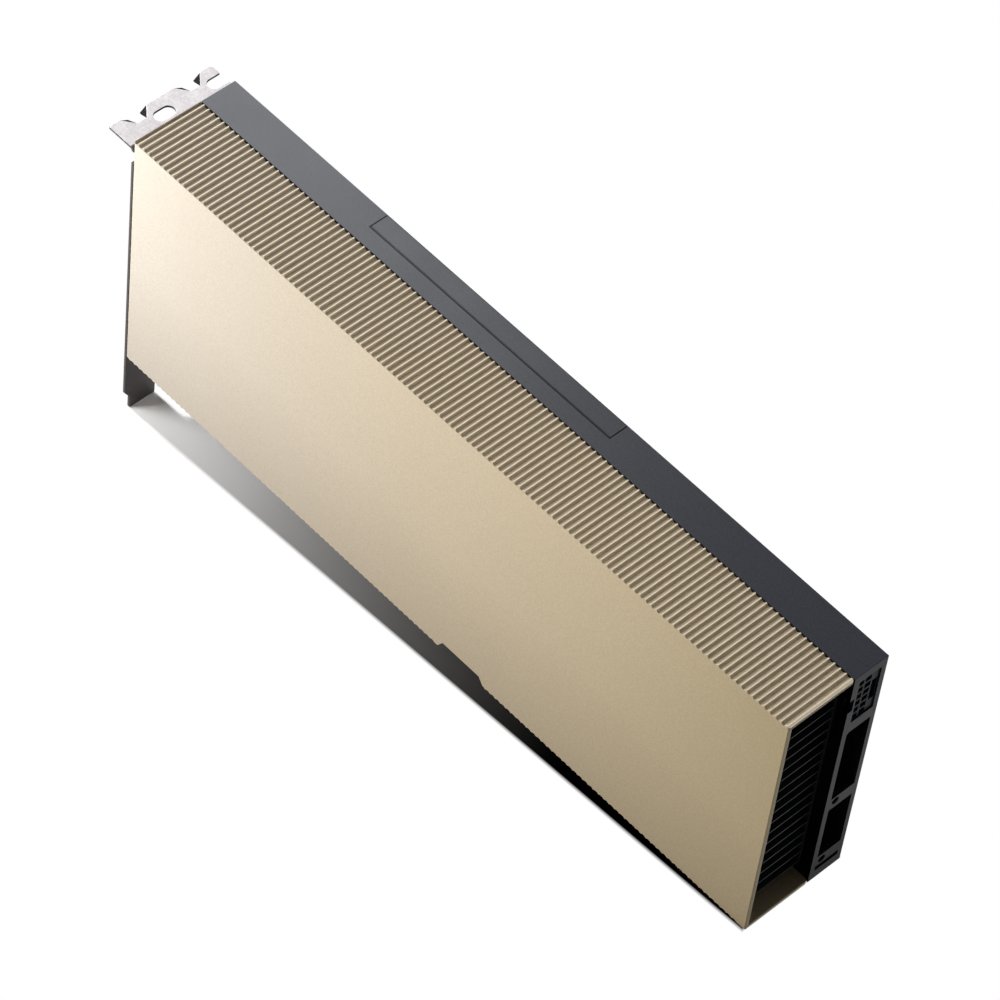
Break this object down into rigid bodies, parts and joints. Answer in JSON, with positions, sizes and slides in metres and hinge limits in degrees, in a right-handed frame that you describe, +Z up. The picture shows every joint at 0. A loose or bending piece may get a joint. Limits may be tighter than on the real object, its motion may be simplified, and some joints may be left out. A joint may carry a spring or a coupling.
{
  "type": "passive accelerator card",
  "caption": "Full-height dual-slot accelerator card with a ribbed cover, a passive fin stack open at both ends, a slot bracket and a card edge.",
  "frame": {"origin": "on the contact edge of the board, at the middle of the key notch and half way through the board's thickness", "axes": "+X from the slot bracket to the rear end, +Y from the ribbed front cover to the back plate, +Z up, away from the slot"},
  "size_m": [0.2786, 0.0393, 0.1245],
  "materials": {
    "cover_paint": "fine matte champagne paint",
    "frame_paint": "fine matte charcoal paint",
    "bracket_steel": "plated sheet steel",
    "fin_black": "black plated fins",
    "spreader_metal": "black plated plate",
    "board_laminate": "solder mask over laminate",
    "package_laminate": "laminate",
    "silicon": "polished",
    "ring_metal": "plated",
    "pad_rubber": "soft pad",
    "connector_plastic": "moulded",
    "contact_metal": "plated",
    "screw_steel": "black plated",
    "choke_block": "moulded block"
  },
  "bodies": {
    "root": {"backplate": "frame_paint", "backplate_screws": "screw_steel", "base_frame": "frame_paint", "bracket_screws": "screw_steel", "choke_01": "choke_block", "choke_02": "choke_block", "choke_03": "choke_block", "choke_04": "choke_block", "choke_05": "choke_block", "choke_06": "choke_block", "choke_07": "choke_block", "choke_08": "choke_block", "choke_09": "choke_block", "choke_10": "choke_block", "choke_11": "choke_block", "choke_12": "choke_block", "circuit_board": "board_laminate", "cover_screws": "screw_steel", "fin_01": "fin_black", "fin_02": "fin_black", "fin_03": "fin_black", "fin_04": "fin_black", "fin_05": "fin_black", "fin_06": "fin_black", "fin_07": "fin_black", "fin_08": "fin_black", "fin_09": "fin_black", "fin_10": "fin_black", "fin_11": "fin_black", "fin_12": "fin_black", "fin_13": "fin_black", "fin_14": "fin_black", "fin_15": "fin_black", "fin_16": "fin_black", "fin_17": "fin_black", "fin_18": "fin_black", "front_cover": "cover_paint", "heat_spreader": "spreader_metal", "link_cover": "frame_paint", "memory_stack_1": "silicon", "memory_stack_2": "silicon", "memory_stack_3": "silicon", "memory_stack_4": "silicon", "memory_stack_5": "silicon", "memory_stack_6": "silicon", "power_connector": "connector_plastic", "power_contacts": "contact_metal", "processor_die": "silicon", "processor_substrate": "package_laminate", "slot_bracket": "bracket_steel", "spring_screws": "screw_steel", "spring_washers": "screw_steel", "stiffener_ring": "ring_metal", "thermal_pads": "pad_rubber"}
  },
  "joints": []
}
